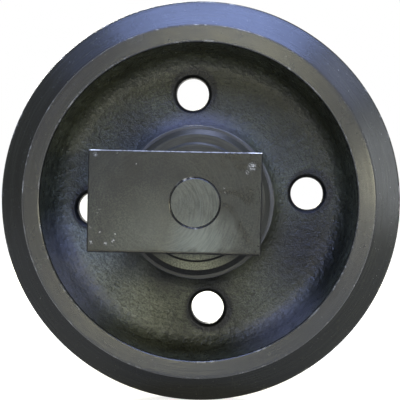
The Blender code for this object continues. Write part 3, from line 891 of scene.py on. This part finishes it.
class IDLER_OT_shaft(Operator):
    """Model the axle shaft with its pin holes, ring grooves and oil drillings"""
    bl_idname = "idler.shaft"
    bl_label = "Shaft"

    groove_depth = 0.0031    # depth of the O-ring grooves
    oil_drilling = 0.0040    # radius of the drilling along the shaft
    cross_drilling = 0.0030  # radius of the drilling across it

    def execute(self, context):
        finish = context.scene.idler_finishes
        ring_low, ring_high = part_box("o_ring_rear")
        groove_low, groove_high = ring_low.y - 0.0005, ring_high.y + 0.0005
        radius, end = SHAFT_HIGH.x, SHAFT_HIGH.y
        floor = radius - self.groove_depth
        half = [(0.0, end, 0.0), (radius - 0.0008, end, 0.0002), (radius, end - 0.0006, 0.0002),
                (radius, groove_high, 0.0002),
                (floor, groove_high, 0.0), (floor, groove_low, 0.0), (radius, groove_low, 0.0002)]
        shaft = turned("axle_shaft", rounded([(radius, -place, edge) for radius, place, edge in half]
                                             + list(reversed(half))), 128)
        for side in SIDES.values():
            drilled(shaft, PIN_RADIUS + CLEARANCE, 0.1, (PIN_ACROSS, side * PIN_ALONG, 0.0), UPRIGHT)
        for radius, depth in ((PLUG_HIGH.x + CLEARANCE, end - WASHER_LOW.y + CLEARANCE),
                              (PLUG_SHANK + CLEARANCE, end - PLUG_LOW.y + CLEARANCE),
                              (self.oil_drilling, end + 0.006)):
            drilled(shaft, radius, depth, (0.0, end, 0.0))
        drilled(shaft, self.cross_drilling, 0.1, (0.0, 0.0, 0.0), UPRIGHT)
        finished(shaft, "carrier", ["shaft"],
                 [ground_paint(finish), plain_metal("ground_steel", (0.42, 0.42, 0.41), 0.26, 0.0009)],
                 lambda centre, normal: 0 if abs(centre.y) > end - 0.001 else 1)
        return {"FINISHED"}


class IDLER_OT_lock_pins(Operator):
    """Model the two lock pins that cross block and shaft"""
    bl_idname = "idler.lock_pins"
    bl_label = "Lock pins"

    def execute(self, context):
        steel = plain_metal("pin_steel_fine", (0.30, 0.30, 0.30), 0.36, 0.0008)
        for name, side in SIDES.items():
            pin = rod(f"cross_pin_{name}", PIN_RADIUS, PIN_LOW.z, PIN_HIGH.z, 0.0012, 64)
            pin.data.transform(Matrix.Rotation(pi / 2, 4, "X"))
            pin.data.transform(Matrix.Translation((PIN_ACROSS, side * PIN_ALONG, 0.0)))
            finished(pin, "carrier", [f"lock_pin_{name}"], [steel])
        return {"FINISHED"}


class IDLER_OT_oil_plug(Operator):
    """Model the oil filler plug with its hexagon socket, and its copper washer"""
    bl_idname = "idler.oil_plug"
    bl_label = "Oil plug"

    socket_half = 0.0040  # half the width of the hexagon socket
    socket_depth = 0.006

    def execute(self, context):
        head_back = WASHER_HIGH.y + CLEARANCE
        plug = turned("filler_plug", rounded([
            (0.0, PLUG_LOW.y, 0.0), (PLUG_SHANK, PLUG_LOW.y, 0.0010), (PLUG_SHANK, head_back, 0.0),
            (PLUG_HIGH.x, head_back, 0.0004), (PLUG_HIGH.x, PLUG_HIGH.y, 0.0007), (0.0, PLUG_HIGH.y, 0.0),
        ]), 64)
        drilled(plug, self.socket_half / cos(pi / 6), self.socket_depth, (0.0, PLUG_HIGH.y, 0.0), sides=6)
        finished(plug, "carrier", ["oil_plug"],
                 [plain_metal("plated_steel", (0.46, 0.46, 0.47), 0.30, 0.0008)])
        bore = PLUG_SHANK + CLEARANCE
        washer = turned("copper_washer", rounded([
            (bore, WASHER_LOW.y, 0.0002), (WASHER_HIGH.x, WASHER_LOW.y, 0.0004),
            (WASHER_HIGH.x, WASHER_HIGH.y, 0.0004), (bore, WASHER_HIGH.y, 0.0002)]), 64)
        finished(washer, "carrier", ["plug_washer"],
                 [plain_metal("soft_copper", (0.62, 0.32, 0.20), 0.34, 0.0010)])
        return {"FINISHED"}


class IDLER_OT_inner_parts(Operator):
    """Give the bushes, seal rings and rubber rings inside the hub their finish"""
    bl_idname = "idler.inner_parts"
    bl_label = "Inner parts"

    def execute(self, context):
        bronze = plain_metal("bush_bronze_fine", (0.55, 0.37, 0.16), 0.32, 0.0010)
        iron = plain_metal("lapped_iron", (0.45, 0.45, 0.46), 0.20, 0.0007)
        black_rubber = rubber()
        for name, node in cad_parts.items():
            look = {"bush": bronze, "seal": iron, "load": black_rubber, "o": black_rubber}.get(
                name.split("_")[0])
            if look:
                node.data.materials.clear()
                node.data.materials.append(look)
        return {"FINISHED"}


# The lamps: name, place, width and height, colour
LAMPS = (
    ("sky", (0.06, -1.09, 1.53), (2.00, 0.75), "sky"),
    ("overhead", (0.10, -0.10, 1.75), (1.10, 0.40), "pale"),
    ("side", (1.56, -0.99, 0.30), (0.60, 1.20), "soft"),
    ("corner", (1.10, -1.00, 1.05), (0.60, 0.60), "pale"),
    ("right", (1.00, -1.60, 0.12), (0.90, 0.24), "warm"),
    ("left", (-0.99, -1.13, 1.17), (0.60, 0.60), "sky"),
    ("front", (0.02, -1.70, 0.35), (0.40, 0.30), "warm"),
    ("near", (0.43, -1.70, -0.03), (0.22, 0.22), "plain"),
    ("low", (-0.15, -1.70, -0.17), (0.16, 0.16), "warm"),
    ("rear", (-0.70, 2.20, 0.90), (1.20, 1.20), "plain"),
)


class IDLER_OT_stage(Operator):
    """Set up the floor, the lamps and the camera"""
    bl_idname = "idler.stage"
    bl_label = "Stage"

    def execute(self, context):
        stage = context.scene.idler_stage
        self.floor(stage, WHEEL_LOW.z - 0.0005)
        self.world(stage)
        for name, place, extent, tone in LAMPS:
            self.lamp(f"{name}_lamp", place, extent, getattr(stage, f"{name}_power"),
                      getattr(stage, f"{tone}_colour"))
        self.camera(context.scene, stage)
        context.scene.view_settings.view_transform = "Standard"
        return {"FINISHED"}

    @staticmethod
    def floor(stage, level):
        """A wide pale floor that keeps the shadow and glows less near the object, where the lamps add to it."""
        shape = bmesh.new()
        bmesh.ops.create_grid(shape, x_segments=1, y_segments=1, size=12.0)
        floor = placed("floor", shape)
        floor.location.z = level
        made, shader, place = new_material("pale_floor")
        seen = white_when_seen(made.node_tree)
        glow = near(place, (0.0, 0.0, 0.0), 0.4, 1.6)
        connected(shader, {
            "Base Color": (*stage.floor_colour, 1.0),
            "Roughness": 0.9,
            "Emission Color": (1.0, 1.0, 1.0, 1.0),
            "Emission Strength": times(seen, remapped(glow, 0.0, 1.0, 1.0, 0.80)),
        })
        floor.data.materials.append(made)

    @staticmethod
    def world(stage):
        """White behind the object, and a low even light on it from all round."""
        world = bpy.data.worlds.new("studio")
        bpy.context.scene.world = world
        world.use_nodes = True
        tree = world.node_tree
        tone = blended(white_when_seen(tree), stage.ambient_colour, (1.0, 1.0, 1.0))
        connected(tree.nodes["Background"], {"Color": tone})

    @staticmethod
    def lamp(name, place, extent, strength, tone):
        """A soft oval lamp that points at the middle of the wheel."""
        lamp = bpy.data.lights.new(name, "AREA")
        lamp.shape = "ELLIPSE"
        lamp.size, lamp.size_y = extent
        lamp.energy = strength
        lamp.color = tone
        holder = bpy.data.objects.new(name, lamp)
        holder.location = place
        holder.rotation_euler = (-Vector(place)).to_track_quat("-Z", "Y").to_euler()
        holder.visible_camera = False
        bpy.context.scene.collection.objects.link(holder)

    @staticmethod
    def camera(scene, stage):
        """The camera a little right of and above the axle, leaning slightly to the left."""
        camera = bpy.data.cameras.new("camera")
        camera.lens = stage.lens
        camera.sensor_width = 36.0
        holder = bpy.data.objects.new("camera", camera)
        place = Vector((stage.camera_right, -stage.camera_distance, stage.camera_height))
        aim = Vector((stage.aim_right, 0.0, stage.aim_height)) - place
        holder.location = place
        holder.rotation_mode = "QUATERNION"
        holder.rotation_quaternion = aim.to_track_quat("-Z", "Y") @ Matrix.Rotation(
            stage.camera_roll, 4, "Z").to_quaternion()
        scene.collection.objects.link(holder)
        scene.camera = holder


class IDLER_PT_panel(Panel):
    """The idler's steps in the sidebar of the 3D view"""
    bl_label = "Front idler"
    bl_idname = "IDLER_PT_panel"
    bl_space_type = "VIEW_3D"
    bl_region_type = "UI"
    bl_category = "Front idler"

    def draw(self, context):
        for step in STEPS:
            self.layout.operator(step.bl_idname)


STEPS = (IDLER_OT_cast_wheel, IDLER_OT_brackets, IDLER_OT_shaft, IDLER_OT_lock_pins, IDLER_OT_oil_plug,
         IDLER_OT_inner_parts, IDLER_OT_stage)
GROUPS = {"idler_wheel": WheelSizes, "idler_bracket": BracketSizes, "idler_finishes": Finishes,
          "idler_stage": StageSizes}


def register():
    """Register the classes and hang the settings on the scene."""
    for made in (*GROUPS.values(), *STEPS, IDLER_PT_panel):
        bpy.utils.register_class(made)
    for name, group in GROUPS.items():
        setattr(bpy.types.Scene, name, PointerProperty(type=group))


def unregister():
    """Take the settings and classes away again."""
    for name in GROUPS:
        delattr(bpy.types.Scene, name)
    for made in (IDLER_PT_panel, *reversed(STEPS), *reversed(list(GROUPS.values()))):
        bpy.utils.unregister_class(made)


def main():
    """Make every piece and the stage."""
    register()
    for step in STEPS:
        space, name = step.bl_idname.split(".")
        getattr(getattr(bpy.ops, space), name)()


if __name__ == "__main__":
    main()
